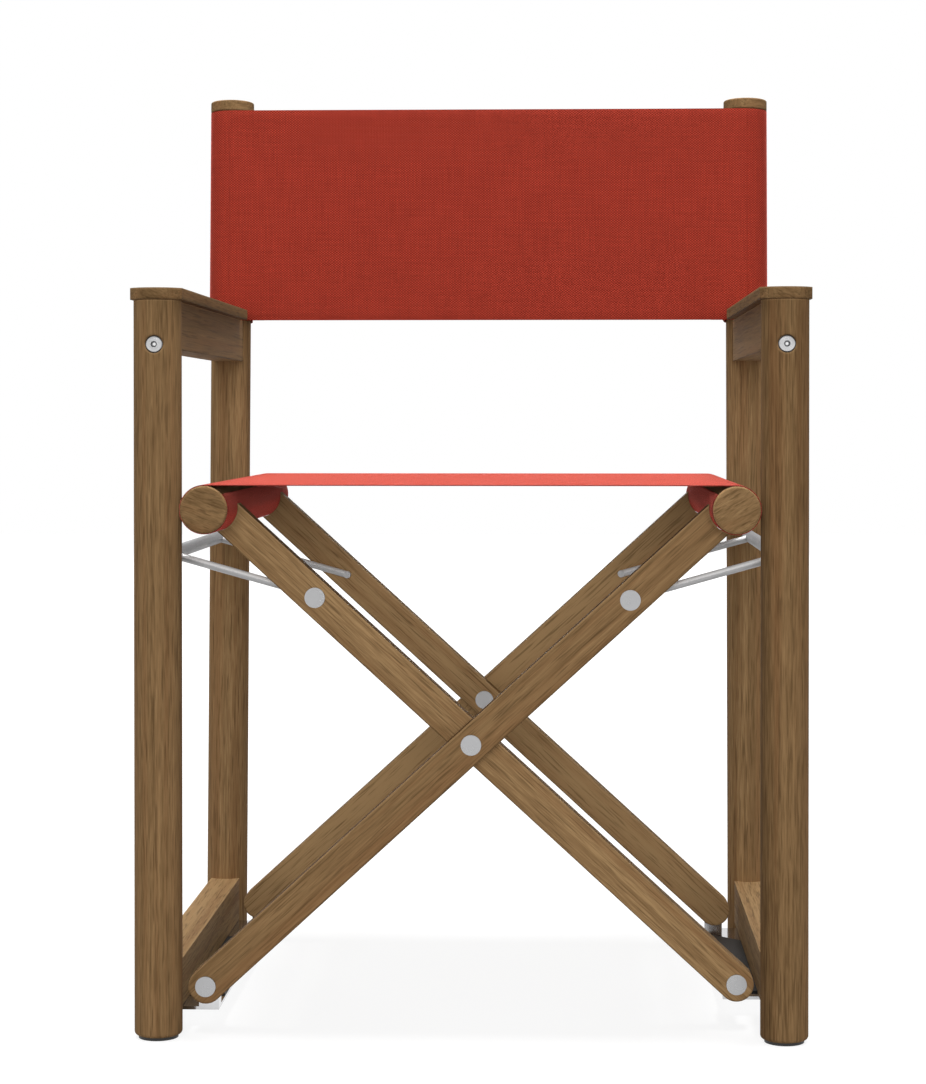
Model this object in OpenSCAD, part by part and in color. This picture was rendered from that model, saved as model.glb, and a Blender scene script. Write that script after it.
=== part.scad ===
// Folding director chair: two wooden side frames joined by a double cross frame, with a
// sling seat wrapped round two rails and a sling back sleeved over the rear posts.
// +X is to the right as seen from the front, +Y to the back and +Z up. Sizes are measured
// from the front leg axes and the floor, and place() moves the chair to its origin.

/* [Side frames] */
// Half the distance between the left and right leg axes
leg_half_spacing = 268; // [250:1:290]
// Distance from the front leg axis to the rear leg axis at the floor
leg_depth = 432.5; // [432:0.5:460]
// Diameter of the legs and back posts
leg_d = 41; // [38:0.5:42]
// Lean of the rear legs, in degrees
post_rake = 3.4; // [2.5:0.1:6]
// Height of the rear posts with their caps
post_height = 863; // [860:1:920]
// Rounding at the foot of each leg
foot_round = 3.5; // [1:0.5:6]
// Diameter of the round caps on the rear posts
post_cap_d = 44.8; // [42:0.1:46]
// Thickness of the caps on the rear posts
post_cap_t = 10.6; // [8:0.1:12]
// Rounding at the top of each cap
post_round = 1.5; // [0.5:0.5:4]

/* [Armrests and side rails] */
// Height of the armrest's top face
arm_height = 642.5; // [640:0.5:660]
// Thickness of the armrest board
arm_t = 10; // [8:0.5:14]
// Width of the armrest board
arm_w = 44.6; // [42:0.2:46]
// How far the armrest's nose stands ahead of the front leg axis
arm_nose = 22.3; // [21:0.1:30]
// Radius of the armrest's rounded nose, seen from above
arm_nose_r = 24.8; // [24:0.1:60]
// How far the armrest ends ahead of the rear leg axis at the floor
arm_end_back = 4.5; // [2.5:0.5:30]
// Thickness of the side rails
side_rail_t = 29; // [22:0.5:34]
// Height of the upper side rail
upper_rail_h = 42; // [40:0.5:50]
// Height of the lower side rail
lower_rail_h = 42; // [34:0.5:60]
// Height of the lower rail's underside
lower_rail_z = 17; // [15:0.5:19]

/* [Cross frame] */
// How far the bottom pivots lie inboard of the leg axes
pivot_inset = 37.9; // [37.5:0.1:42]
// Height of the bottom pivots
pivot_z = 39.1; // [38:0.1:44]
// Height of the pivots where the bars cross
cross_z = 249.4; // [246:0.1:254]
// Width of the cross bars
bar_w = 30; // [26:0.5:32]
// Thickness of the cross bars
bar_t = 20; // [16:0.5:21]
// Where the foremost cross bar's front face lies behind the front leg axis
bar_front = 18.4; // [16:0.1:20]
// How much less deep the cross frame is than the leg axes
cross_margin = 41; // [40.5:0.5:52]
// Gap between two crossing bars
layer_gap = 2.2; // [2.2:0.1:3]
// Distance along a bar from the cross pivot to the stay's pivot
stay_reach = 185.9; // [180:0.1:192]

/* [Seat] */
// Diameter of the seat rails
seat_rail_d = 40.4; // [38:0.2:41]
// Height of the seat rail axes
seat_rail_z = 453.6; // [450:0.1:458]
// How far the seat rails start ahead of the front leg axis
seat_rail_front = 20.5; // [16:0.1:22]
// How far the seat rails end behind the rear leg axis at the floor
seat_rail_back = 11.5; // [0:0.5:13.5]
// How far the sling stays back from each end of the seat rails
sling_inset = 4; // [2:0.5:10]
// Thickness of the sling fabric
sling_t = 0.8; // [0.6:0.1:1.2]
// Angle above level at which the sling's wrap ends on the rail's inner side
sling_flap_angle = 40; // [20:1:60]

/* [Back] */
// How far the back sling's lower edge lies below the top of the posts
back_drop = 231.5; // [230.5:0.5:243]
// Height of the back sling along the posts
back_h = 219.2; // [190:0.1:219.4]
// How far inboard of the post axis the sleeve is sewn to the panel
sleeve_seam = 25; // [24:1:60]

/* [Pins and fasteners] */
// Diameter of the pivot pins
pin_d = 8; // [6:0.5:10]
// Diameter of the pins' flat caps
pin_cap_d = 17.7; // [14:0.1:19]
// Thickness of the pins' caps
pin_cap_t = 1.8; // [1.2:0.1:1.8]
// Diameter of the washers between crossing bars
washer_d = 22; // [18:0.5:26]
// Diameter of the arm bolt's shank
bolt_d = 6; // [5:0.5:7]
// Diameter of the arm bolt's head
bolt_head_d = 15; // [12:0.5:16]
// Length of the arm bolt behind its head
bolt_l = 62; // [54:1:70]
// How far the arm bolt lies below the armrest's top face
bolt_drop = 48.2; // [40:0.1:50]
// Across-flats size of the arm bolt's socket
bolt_socket = 5; // [4:0.5:6]
// Diameter of the barrel nut in the upper rail
barrel_d = 10; // [9:0.5:12]
// Diameter of the hidden frame dowels
dowel_d = 8; // [6:0.5:10]
// Length of the hidden frame dowels
dowel_l = 36; // [28:1:38]
// Diameter of the wood screws
screw_d = 4; // [3:0.5:5]
// Diameter of the wood screws' heads
screw_head_d = 8; // [7:0.5:9]

/* [Brackets, stays and feet] */
// Thickness of the bracket's plate and ears
bracket_t = 2.8; // [2:0.1:3.2]
// Width of the bracket's ears
ear_w = 17.5; // [16:0.5:19]
// How far the right bracket's front ear stands behind its bar
far_ear_gap = 31; // [20:1:40]
// Outer diameter of the sleeve on the right front pin
sleeve_d = 16; // [13:0.5:20]
// Height of the stay tubes
stay_z = 411.6; // [408:0.1:415]
// Diameter of the stay tubes
stay_tube_d = 12; // [10:0.5:14]
// Diameter of the stay's rod arms
stay_rod_d = 7; // [6:0.5:8]
// Diameter of the stay tube's journals in the legs
journal_d = 8; // [6:0.5:9]
// Length of the stay tube's journals
journal_l = 12; // [8:0.5:14]
// Thickness of the foot glides
glide_t = 2.5; // [2:0.5:4]
// Diameter of the foot glides
glide_d = 34; // [28:0.5:35]

/* [Hidden] */

// Clearances
pin_play = 0.05;   // radial play of a pin, dowel, screw or bolt in its hole
head_play = 0.1;   // radial play of a screw or bolt head in its counterbore
joint_gap = 0.05;  // glue gap where one piece is coped to another
face_gap = 0.3;    // gap between flat faces that turn against each other
soft_gap = 0.3;    // gap between a sling and the wood beside it
wrap_gap = 0.1;    // gap between the seat sling and the rail that it wraps
sleeve_gap = 1.1;  // slack of the back sling's sleeve round its post
over = 1;          // how far a cut runs past the face that it opens
round_fn = 96;
round_steps = 6;
arc_steps = 30;

// Sides of the chair
LEFT = -1;
RIGHT = 1;

// Heights and radii that follow from the driving sizes
leg_r = leg_d/2;
arm_z = arm_height - arm_t;
arm_end = leg_depth - arm_end_back;
upper_rail_z = arm_z - upper_rail_h;
seat_rail_r = seat_rail_d/2;
wrap_in_r = seat_rail_r + wrap_gap;
wrap_out_r = wrap_in_r + sling_t;
sleeve_in_r = leg_r + sleeve_gap;
sleeve_out_r = sleeve_in_r + sling_t;
seat_rail_x = leg_half_spacing - leg_r - soft_gap - wrap_out_r;
cope_r = wrap_out_r + soft_gap;
back_z = post_height - back_drop;
seat_rail_end = leg_depth + seat_rail_back;
cap_axis_top = post_height/cos(post_rake) - post_cap_d/2*tan(post_rake);
post_axis_top = cap_axis_top - post_cap_t;
cap_tenon_d = 18;
cap_tenon_l = 16;

// Line of the bars, from a bottom pivot through the crossing
pivot_x = leg_half_spacing - pivot_inset;
bar_angle = atan2(cross_z - pivot_z, pivot_x);
pivot_run = norm([pivot_x, cross_z - pivot_z]);
stay_x = stay_reach*cos(bar_angle);
stay_pivot_z = cross_z + stay_reach*sin(bar_angle);

// Seat rail's axis, along and across the bars' line from the crossing
rail_dz = seat_rail_z - cross_z;
rail_run = seat_rail_x*cos(bar_angle) + rail_dz*sin(bar_angle);
rail_drop = -seat_rail_x*sin(bar_angle) + rail_dz*cos(bar_angle);

// Front faces of the four bars
bar_pitch = bar_t + layer_gap;
cross_depth = leg_depth - cross_margin;
outer_front_y = bar_front;
inner_front_y = bar_front + bar_pitch;
outer_rear_y = bar_front + cross_depth - bar_t;
inner_rear_y = outer_rear_y - bar_pitch;
washer_t = layer_gap - 2*face_gap;

// Brackets: a plate under the lower rail with an ear turned up at each end
bracket_z = lower_rail_z - bracket_t;
bracket_x_in = pivot_x - ear_w/2;
bracket_x_out = leg_half_spacing + side_rail_t/2 - 6;
left_ear_front = outer_front_y + bar_t + face_gap;
left_ear_rear = outer_rear_y + bar_t + face_gap;
right_ear_front = inner_front_y + bar_t + face_gap + far_ear_gap;
right_ear_rear = inner_rear_y + bar_t + face_gap;
ear_lip_h = 10;
ear_lip_l = 15;
left_liner_start = 3*ear_lip_l;
right_liner_start = ear_lip_l + 0.5;
liner_stop_inner = 35;
liner_stop_outer = 65;
liner_edge = 1;
liner_t = 1.5;
pin_stub = 15;

// Stays
stay_dx = leg_half_spacing - stay_x;
stay_dz = stay_pivot_z - stay_z;
stay_len = norm([stay_dx, stay_dz]);
stay_angle = atan2(stay_dz, stay_dx);
stay_tip = stay_rod_d/2 + 0.1;
tube_front = leg_r + face_gap;
tube_back = rear_axis_y(stay_z - stay_tube_d/2) - leg_r/cos(post_rake) - face_gap;

// Arm bolt and barrel nut
bolt_head_t = 3.6;
bolt_z = arm_height - bolt_drop;
bolt_seat = -leg_r + bolt_head_t - 0.3;
barrel_y = bolt_seat + bolt_l - barrel_d;
barrel_l = 20;

// Wood screws
arm_screw_at = [0.21, 0.55, 0.9];
arm_screw_l = 30;
arm_screw_bite = arm_t - 3;
screw_head_t = 3;
bracket_screw_at = [0.12, 0.5, 0.88];
bracket_screw_l = 20;
rail_screw_bite = 30;
rail_screw_l = seat_rail_r + cope_r + rail_screw_bite;
rail_screw_sink = 1;

// Frame dowels, as parts of a rail's height
dowel_heights = [0.25, 0.75];
spigot_d = 6;
spigot_l = 14;
seat_rail_chamfer = 1;
edge_round = 0.8;

// The chair's front and back, for the origin at the bottom centre of its box
back_top = back_z/cos(post_rake) + back_h;
sling_back = back_top*sin(post_rake) + sleeve_out_r*cos(post_rake);
cap_back = (cap_axis_top - post_round)*sin(post_rake) + (post_cap_d/2 - post_round)*cos(post_rake) + post_round;
chair_back = leg_depth + max(sling_back, cap_back);
origin_y = (chair_back - max(arm_nose, seat_rail_front))/2;

wood = [0.55, 0.41, 0.25];
steel = [0.78, 0.78, 0.80];
black = [0.09, 0.09, 0.09];
red = [0.72, 0.16, 0.13];

// Depth of the rear leg's axis at a height
function rear_axis_y(z) = leg_depth + z*tan(post_rake);

// Front faces of a bracket's two ears
function ears(side) = side == LEFT ? [left_ear_front, left_ear_rear] : [right_ear_front, right_ear_rear];

// Front faces of the bars that turn on a side's bracket
function foot_bars(side) = side == LEFT ? [outer_front_y, outer_rear_y] : [inner_front_y, inner_rear_y];

// Front faces of the bars that hold a side's seat rail and stay
function rail_bars(side) = side == RIGHT ? [outer_front_y, outer_rear_y] : [inner_front_y, inner_rear_y];

// Moves the chair to its origin
module place() {
    translate([0, -origin_y, 0]) children();
}

// Draws a piece that is shaped for the left on either side
module from_left(side) {
    if (side == LEFT) children();
    else mirror([1, 0, 0]) children();
}

// Draws a piece that is shaped for the right on either side
module from_right(side) {
    if (side == RIGHT) children();
    else mirror([1, 0, 0]) children();
}

// A cylinder that runs back along Y from a point
module rod_y(at, d, l) {
    translate(at)
        rotate([-90, 0, 0])
            cylinder(d = d, h = l, $fn = round_fn);
}

// A cylinder that runs up along Z from a point
module rod_z(at, d, l) {
    translate(at)
        cylinder(d = d, h = l, $fn = round_fn);
}

// Draws along a leg's axis, from where it meets the floor
module on_leg(base_y, lean) {
    translate([-leg_half_spacing, base_y, 0])
        rotate([-lean, 0, 0])
            children();
}

// Half outline of a round post with both ends rounded, for turning
module post_outline(r, bottom, top, bottom_round, top_round) {
    foot = [for (i = [0 : round_steps]) let (a = -90 + 90*i/round_steps)
        [r - bottom_round + bottom_round*cos(a), bottom + bottom_round + bottom_round*sin(a)]];
    head = [for (i = [0 : round_steps]) let (a = 90*i/round_steps)
        [r - top_round + top_round*cos(a), top - top_round + top_round*sin(a)]];
    polygon(concat([[0, bottom]], foot, head, [[0, top]]));
}

// The leg's round body, a little oversize, for coping the rails
module leg_core(base_y, lean) {
    on_leg(base_y, lean)
        translate([0, 0, -leg_d])
            cylinder(r = leg_r + joint_gap, h = post_height + 2*leg_d, $fn = round_fn);
}

// Hidden dowels between the rails and the legs, or their holes
module dowels(play) {
    d = dowel_d + 2*play;
    l = dowel_l + 2*play;
    for (h = dowel_heights) {
        low = lower_rail_z + h*lower_rail_h;
        high = upper_rail_z + h*upper_rail_h;
        rod_y([-leg_half_spacing, leg_r - l/2, low], d, l);
        rod_y([-leg_half_spacing, rear_axis_y(low) - leg_r - l/2, low], d, l);
        rod_y([-leg_half_spacing, rear_axis_y(high) - leg_r - l/2, high], d, l);
    }
}

// Hole for the arm bolt, with a counterbore for its head
module bolt_hole() {
    rod_y([-leg_half_spacing, bolt_seat - leg_r, bolt_z], bolt_head_d + 2*head_play, leg_r);
    rod_y([-leg_half_spacing, bolt_seat - over, bolt_z], bolt_d + 2*pin_play, bolt_l + 2*over);
}

// Journals of a stay tube in the legs, or their holes
module stay_journals(play) {
    d = journal_d + 2*play;
    l = journal_l + play + over;
    rod_y([-leg_half_spacing, tube_front - journal_l - play, stay_z], d, l);
    rod_y([-leg_half_spacing, tube_back - over, stay_z], d, l);
}

module front_leg(side) {
    color(wood) place() from_left(side) difference() {
        on_leg(0, 0)
            rotate_extrude($fn = round_fn)
                post_outline(leg_r, glide_t, arm_z, foot_round, edge_round);
        on_leg(0, 0) rod_z([0, 0, 0], spigot_d + 2*pin_play, glide_t + spigot_l + pin_play);
        dowels(pin_play);
        bolt_hole();
        stay_journals(pin_play);
    }
}

// The rear leg is also the back post, and its foot is cut level
module rear_leg(side) {
    bottom = glide_t - leg_r*tan(post_rake);
    color(wood) place() from_left(side) difference() {
        on_leg(leg_depth, post_rake)
            rotate_extrude($fn = round_fn)
                post_outline(leg_r, bottom, post_axis_top, foot_round, edge_round);
        translate([-leg_half_spacing - leg_d, leg_depth - leg_d, glide_t - leg_d])
            cube([2*leg_d, 2*leg_d, leg_d]);
        on_leg(leg_depth, post_rake)
            rod_z([0, 0, 0], spigot_d + 2*pin_play, glide_t + spigot_l + pin_play);
        on_leg(leg_depth, post_rake)
            rod_z([0, 0, post_axis_top - cap_tenon_l - pin_play], cap_tenon_d + 2*pin_play, 2*cap_tenon_l);
        dowels(pin_play);
        stay_journals(pin_play);
    }
}

// A round cap on a rear post, with a tenon down the post's axis
module post_cap(side) {
    color(wood) place() from_left(side) on_leg(leg_depth, post_rake) union() {
        rotate_extrude($fn = round_fn)
            post_outline(post_cap_d/2, post_axis_top, cap_axis_top, edge_round, post_round);
        rod_z([0, 0, post_axis_top - cap_tenon_l], cap_tenon_d, cap_tenon_l + post_cap_t/2);
    }
}

// A level glide under each leg, with a spigot up the leg's axis
module foot_glides(side) {
    color(black) place() from_left(side)
        for (leg = [[0, 0], [leg_depth, post_rake]]) union() {
            rod_z([-leg_half_spacing, leg[0], 0], glide_d, glide_t);
            on_leg(leg[0], leg[1]) rod_z([0, 0, glide_t/2], spigot_d, glide_t/2 + spigot_l);
        }
}

// Armrest board with a rounded nose over the front leg
module armrest(side) {
    nose_y = arm_nose_r - arm_nose;
    color(wood) place() from_left(side) difference() {
        translate([-leg_half_spacing, 0, arm_z]) intersection() {
            translate([-arm_w/2, -arm_nose - over, 0])
                cube([arm_w, arm_end + arm_nose + over, arm_t]);
            union() {
                translate([0, nose_y, 0])
                    cylinder(r = arm_nose_r, h = arm_t, $fn = 2*round_fn);
                translate([-arm_w, nose_y, 0])
                    cube([2*arm_w, arm_end, arm_t]);
            }
        }
        arm_screw_shanks(pin_play);
    }
}

// Screws from the upper rail up into the armrest, or their holes
module arm_screw_shanks(play) {
    for (y = leg_depth*arm_screw_at)
        rod_z([-leg_half_spacing, y, arm_z + arm_screw_bite - arm_screw_l],
              screw_d + 2*play, arm_screw_l + play);
}

module armrest_screws(side) {
    color(steel) place() from_left(side) union() {
        arm_screw_shanks(0);
        for (y = leg_depth*arm_screw_at)
            rod_z([-leg_half_spacing, y, arm_z + arm_screw_bite - arm_screw_l - screw_head_t],
                  screw_head_d, screw_head_t);
    }
}

module upper_rail(side) {
    head_top = arm_z + arm_screw_bite - arm_screw_l;
    color(wood) place() from_left(side) difference() {
        translate([-leg_half_spacing - side_rail_t/2, 0, upper_rail_z])
            cube([side_rail_t, rear_axis_y(arm_z), upper_rail_h]);
        leg_core(0, 0);
        leg_core(leg_depth, post_rake);
        dowels(pin_play);
        bolt_hole();
        rod_z([-leg_half_spacing, barrel_y, upper_rail_z - over],
              barrel_d + 2*pin_play, barrel_l + over + pin_play);
        arm_screw_shanks(pin_play);
        for (y = leg_depth*arm_screw_at)
            rod_z([-leg_half_spacing, y, upper_rail_z - over],
                  screw_head_d + 2*head_play, head_top - upper_rail_z + over);
    }
}

module lower_rail(side) {
    color(wood) place() from_left(side) difference() {
        translate([-leg_half_spacing - side_rail_t/2, 0, lower_rail_z])
            cube([side_rail_t, rear_axis_y(lower_rail_z), lower_rail_h]);
        leg_core(0, 0);
        leg_core(leg_depth, post_rake);
        dowels(pin_play);
        bracket_screw_shanks(side, pin_play);
    }
}

// Domed bolt through the front leg into the barrel nut, with a six-sided socket
module arm_bolt(side) {
    r = bolt_head_d/2;
    t = bolt_head_t;
    color(steel) place() from_left(side) difference() {
        union() {
            translate([-leg_half_spacing, bolt_seat, bolt_z])
                rotate([90, 0, 0])
                    rotate_extrude($fn = round_fn)
                        polygon([[0, 0], [r, 0], [r, 0.35*t], [0.86*r, 0.72*t], [0.6*r, t], [0, t]]);
            rod_y([-leg_half_spacing, bolt_seat - over, bolt_z], bolt_d, bolt_l + over);
        }
        translate([-leg_half_spacing, bolt_seat - t - over, bolt_z])
            rotate([-90, 0, 0])
                cylinder(d = bolt_socket/cos(30), h = over + 0.7*t, $fn = 6);
    }
}

module barrel_nut(side) {
    color(steel) place() from_left(side) difference() {
        rod_z([-leg_half_spacing, barrel_y, upper_rail_z + over], barrel_d, barrel_l - over);
        rod_y([-leg_half_spacing, bolt_seat, bolt_z], bolt_d + 2*pin_play, 2*bolt_l);
    }
}

// An ear of a bracket, and at the front a lip turned back along its inner edge
module ear(y, lip) {
    translate([-pivot_x - ear_w/2, y, bracket_z])
        cube([ear_w, bracket_t, pivot_z - bracket_z]);
    rod_y([-pivot_x, y, pivot_z], ear_w, bracket_t);
    if (lip)
        translate([-bracket_x_in - bracket_t, y, bracket_z])
            cube([bracket_t, ear_lip_l, ear_lip_h]);
}

module pivot_bracket(side) {
    y = ears(side);
    color(steel) place() from_left(side) difference() {
        union() {
            translate([-bracket_x_out, y[0], bracket_z])
                cube([bracket_x_out - bracket_x_in, y[1] + bracket_t - y[0], bracket_t]);
            ear(y[0], true);
            ear(y[1], false);
        }
        leg_core(leg_depth, post_rake);
        rod_y([-pivot_x, y[0] - over, pivot_z], pin_d + 2*pin_play, y[1] - y[0] + bracket_t + 2*over);
        bracket_screw_shanks(side, pin_play);
    }
}

// A black wear strip on a bracket's plate, beside the rail, with a slanting rear end
module bracket_liner(side) {
    front = ears(side)[0] + (side == LEFT ? left_liner_start : right_liner_start);
    inner = -bracket_x_in - liner_edge;
    outer = -leg_half_spacing + side_rail_t/2 + face_gap;
    color(black) place() from_left(side)
        translate([0, 0, lower_rail_z])
            linear_extrude(height = liner_t)
                polygon([[outer, front], [inner, front], [inner, outer_rear_y - liner_stop_inner],
                         [outer, outer_rear_y - liner_stop_outer]]);
}

// Depth of a bracket screw along its bracket
function bracket_screw_y(side, part) = ears(side)[0] + part*(ears(side)[1] - ears(side)[0]);

// Screws from under a bracket up into the lower rail, or their holes
module bracket_screw_shanks(side, play) {
    for (part = bracket_screw_at)
        rod_z([-leg_half_spacing, bracket_screw_y(side, part), bracket_z - screw_head_t/2],
              screw_d + 2*play, screw_head_t/2 + bracket_screw_l + play);
}

module bracket_screws(side) {
    color(steel) place() from_left(side) union() {
        bracket_screw_shanks(side, 0);
        for (part = bracket_screw_at)
            rod_z([-leg_half_spacing, bracket_screw_y(side, part), bracket_z - screw_head_t],
                  screw_head_d, screw_head_t);
    }
}

// A pin along Y, with a flat cap at its front end, its back end or both
module capped_pin(x, z, from, to, front_cap, back_cap) {
    union() {
        rod_y([x, from, z], pin_d, to - from);
        if (front_cap) rod_y([x, from - pin_cap_t, z], pin_cap_d, pin_cap_t);
        if (back_cap) rod_y([x, to, z], pin_cap_d, pin_cap_t);
    }
}

// Bottom pivots: through the front bar, and into the rear bar from behind
module bottom_pins(side) {
    y = ears(side);
    bars = foot_bars(side);
    color(steel) place() from_left(side) {
        capped_pin(-pivot_x, pivot_z, bars[0] - face_gap, y[0] + bracket_t, true, true);
        capped_pin(-pivot_x, pivot_z, bars[1] + bar_t - pin_stub, y[1] + bracket_t, false, true);
    }
}

// Sleeve that holds the right front bar off its ear
module right_pin_sleeve() {
    from = inner_front_y + bar_t + face_gap;
    color(black) place() difference() {
        rod_y([pivot_x, from, pivot_z], sleeve_d, right_ear_front - from);
        rod_y([pivot_x, from - over, pivot_z], pin_d + 2*pin_play, right_ear_front - from + 2*over);
    }
}

// Cross bar from lower left to upper right: round at the bottom pivot, coped round the
// wrapped seat rail at the top
module bar(front_y, through_foot, stay_hole) {
    hole_d = pin_d + 2*pin_play;
    long = bar_t + 2*over;
    color(wood) translate([0, front_y, cross_z]) rotate([0, -bar_angle, 0]) difference() {
        union() {
            translate([-pivot_run, 0, -bar_w/2])
                cube([pivot_run + rail_run, bar_t, bar_w]);
            rod_y([-pivot_run, 0, 0], bar_w, bar_t);
        }
        rod_y([rail_run, -over, rail_drop], 2*cope_r, long);
        rod_y([0, -over, 0], hole_d, long);
        rod_y([-pivot_run, through_foot ? -over : bar_t - pin_stub - pin_play, 0], hole_d, long);
        if (stay_hole) rod_y([stay_reach, -over, 0], hole_d, long);
        translate([rail_run, bar_t/2, rail_drop]) rail_screw(screw_d + 2*pin_play, rail_screw_l + pin_play);
    }
}

module outer_front_bar() {
    place() bar(outer_front_y, true, true);
}

module outer_rear_bar() {
    place() bar(outer_rear_y, false, false);
}

module inner_front_bar() {
    place() mirror([1, 0, 0]) bar(inner_front_y, true, true);
}

module inner_rear_bar() {
    place() mirror([1, 0, 0]) bar(inner_rear_y, false, false);
}

// A straight run from the seat rail's far side, back through the rail into a bar's end
module rail_screw(d, l) {
    translate([seat_rail_r, 0, 0])
        rotate([0, -90, 0])
            cylinder(d = d, h = l, $fn = round_fn);
}

// Draws at each bar on a seat rail's axis, turned along the bar
module at_rail_bars(side) {
    for (y = rail_bars(side))
        translate([seat_rail_x, y + bar_t/2, seat_rail_z])
            rotate([0, -bar_angle, 0])
                children();
}

module seat_rail(side) {
    l = seat_rail_end + seat_rail_front;
    r = seat_rail_r;
    c = seat_rail_chamfer;
    color(wood) place() from_right(side) difference() {
        translate([seat_rail_x, -seat_rail_front, seat_rail_z])
            rotate([-90, 0, 0])
                rotate_extrude($fn = round_fn)
                    polygon([[0, 0], [r - c, 0], [r, c], [r, l - c], [r - c, l], [0, l]]);
        at_rail_bars(side) {
            translate([over, 0, 0]) rail_screw(screw_d + 2*pin_play, rail_screw_l);
            translate([over, 0, 0])
                rail_screw(screw_head_d + 2*head_play, over + rail_screw_sink + screw_head_t);
        }
    }
}

// Screws that hold a seat rail to its bars, with their heads sunk under the sling
module rail_screws(side) {
    color(steel) place() from_right(side) at_rail_bars(side)
        translate([-rail_screw_sink, 0, 0]) union() {
            rail_screw(screw_d, rail_screw_l - rail_screw_sink);
            rail_screw(screw_head_d, screw_head_t);
        }
}

// Flat-capped stud in a front bar where the stay is held
module stay_pin(side) {
    front = rail_bars(side)[0];
    color(steel) place()
        capped_pin(side*stay_x, stay_pivot_z, front - face_gap, front + bar_t - face_gap, true, false);
}

// Pins through the two crossings, with a cap at each end
module cross_pins() {
    color(steel) place() {
        capped_pin(0, cross_z, outer_front_y - face_gap, inner_front_y + bar_t + face_gap, true, true);
        capped_pin(0, cross_z, inner_rear_y - face_gap, outer_rear_y + bar_t + face_gap, true, true);
    }
}

// Washers between the crossing bars
module cross_washers() {
    color(black) place() for (y = [outer_front_y, inner_rear_y]) difference() {
        rod_y([0, y + bar_t + face_gap, cross_z], washer_d, washer_t);
        rod_y([0, y + bar_t - over, cross_z], pin_d + 2*pin_play, layer_gap + 2*over);
    }
}

// Stay tube between the legs, with a journal in each leg
module stay_tube(side) {
    color(steel) place() from_left(side) union() {
        rod_y([-leg_half_spacing, tube_front, stay_z], stay_tube_d, tube_back - tube_front);
        stay_journals(0);
    }
}

// Rod from the stay tube to a bar, with its tip bent towards the bar's face.
// tip_way is -1 for a bar in front of the rod and 1 for a bar behind it
module stay_arm(side, bar_face, tip_way) {
    y = bar_face - tip_way*(face_gap + stay_tip);
    color(steel) place() from_left(side) difference() {
        translate([-leg_half_spacing, y, stay_z]) rotate([0, -stay_angle, 0]) union() {
            rotate([0, 90, 0]) cylinder(d = stay_rod_d, h = stay_len, $fn = round_fn);
            rod_y([stay_len, -stay_tip, 0], stay_rod_d, 2*stay_tip);
        }
        rod_y([-leg_half_spacing, tube_front, stay_z], stay_tube_d + 2*joint_gap, tube_back - tube_front);
    }
}

module stay_front_arm(side) {
    stay_arm(side, rail_bars(side)[0] + bar_t, -1);
}

module stay_rear_arm(side) {
    stay_arm(side, rail_bars(side)[1], 1);
}

// Part of a fabric ring about the origin, open between two angles
module open_ring(in_r, out_r, from, to) {
    reach = 2*out_r;
    mid = (from + to)/2;
    difference() {
        circle(r = out_r, $fn = round_fn);
        circle(r = in_r, $fn = round_fn);
        polygon([[0, 0], reach*[cos(from), sin(from)], reach*[cos(mid), sin(mid)], reach*[cos(to), sin(to)]]);
    }
}

// Seat sling: a flat sheet whose ends wrap the rails outwards, under and up inside
module seat_sling() {
    from = -seat_rail_front + sling_inset;
    l = seat_rail_end - sling_inset - from;
    color(red) place() difference() {
        translate([0, from + l, seat_rail_z]) rotate([90, 0, 0]) linear_extrude(height = l) {
            translate([-seat_rail_x, wrap_in_r]) square([2*seat_rail_x, sling_t]);
            translate([seat_rail_x, 0]) open_ring(wrap_in_r, wrap_out_r, 90, 180 - sling_flap_angle);
            translate([-seat_rail_x, 0]) open_ring(wrap_in_r, wrap_out_r, sling_flap_angle, 90);
        }
        for (side = [LEFT, RIGHT]) from_right(side) at_rail_bars(side)
            rail_screw(screw_d + 2*soft_gap, rail_screw_l);
    }
}

// Points along an arc about a centre
function arc(centre, r, from, to) = [for (i = [0 : arc_steps])
    let (a = from + (to - from)*i/arc_steps) centre + r*[cos(a), sin(a)]];

// Angle at which a line from a point inboard on the panel's back face touches a circle
function tail_angle(r, inboard) =
    acos(r/norm([inboard, sleeve_in_r])) - atan2(sleeve_in_r, inboard);

// Inside of a post's sleeve, closed by the tail that is sewn to the panel
module sleeve_inside() {
    polygon(concat(arc([0, 0], sleeve_in_r, tail_angle(sleeve_in_r, sleeve_seam), 270),
                   [[sleeve_seam, -sleeve_in_r]]));
}

// Back sling: a flat panel in front of the posts, with a sleeve at each end
module back_sling() {
    tail_end = sleeve_seam + 2*sling_t;
    tail = tail_angle(sleeve_out_r, tail_end);
    left_post = [-leg_half_spacing, 0];
    right_post = [leg_half_spacing, 0];
    outline = concat(arc(left_post, sleeve_out_r, tail, 270),
                     arc(right_post, sleeve_out_r, -90, 180 - tail),
                     [right_post - [tail_end, sleeve_in_r], left_post + [tail_end, -sleeve_in_r]]);
    color(red) place() translate([0, leg_depth, 0]) rotate([-post_rake, 0, 0])
        translate([0, 0, back_z/cos(post_rake)]) linear_extrude(height = back_h) difference() {
            polygon(outline);
            translate(left_post) sleeve_inside();
            translate(right_post) mirror([1, 0]) sleeve_inside();
        }
}

// Dowels in a side frame
module frame_dowels(side) {
    color(wood) place() from_left(side) dowels(0);
}

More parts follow.
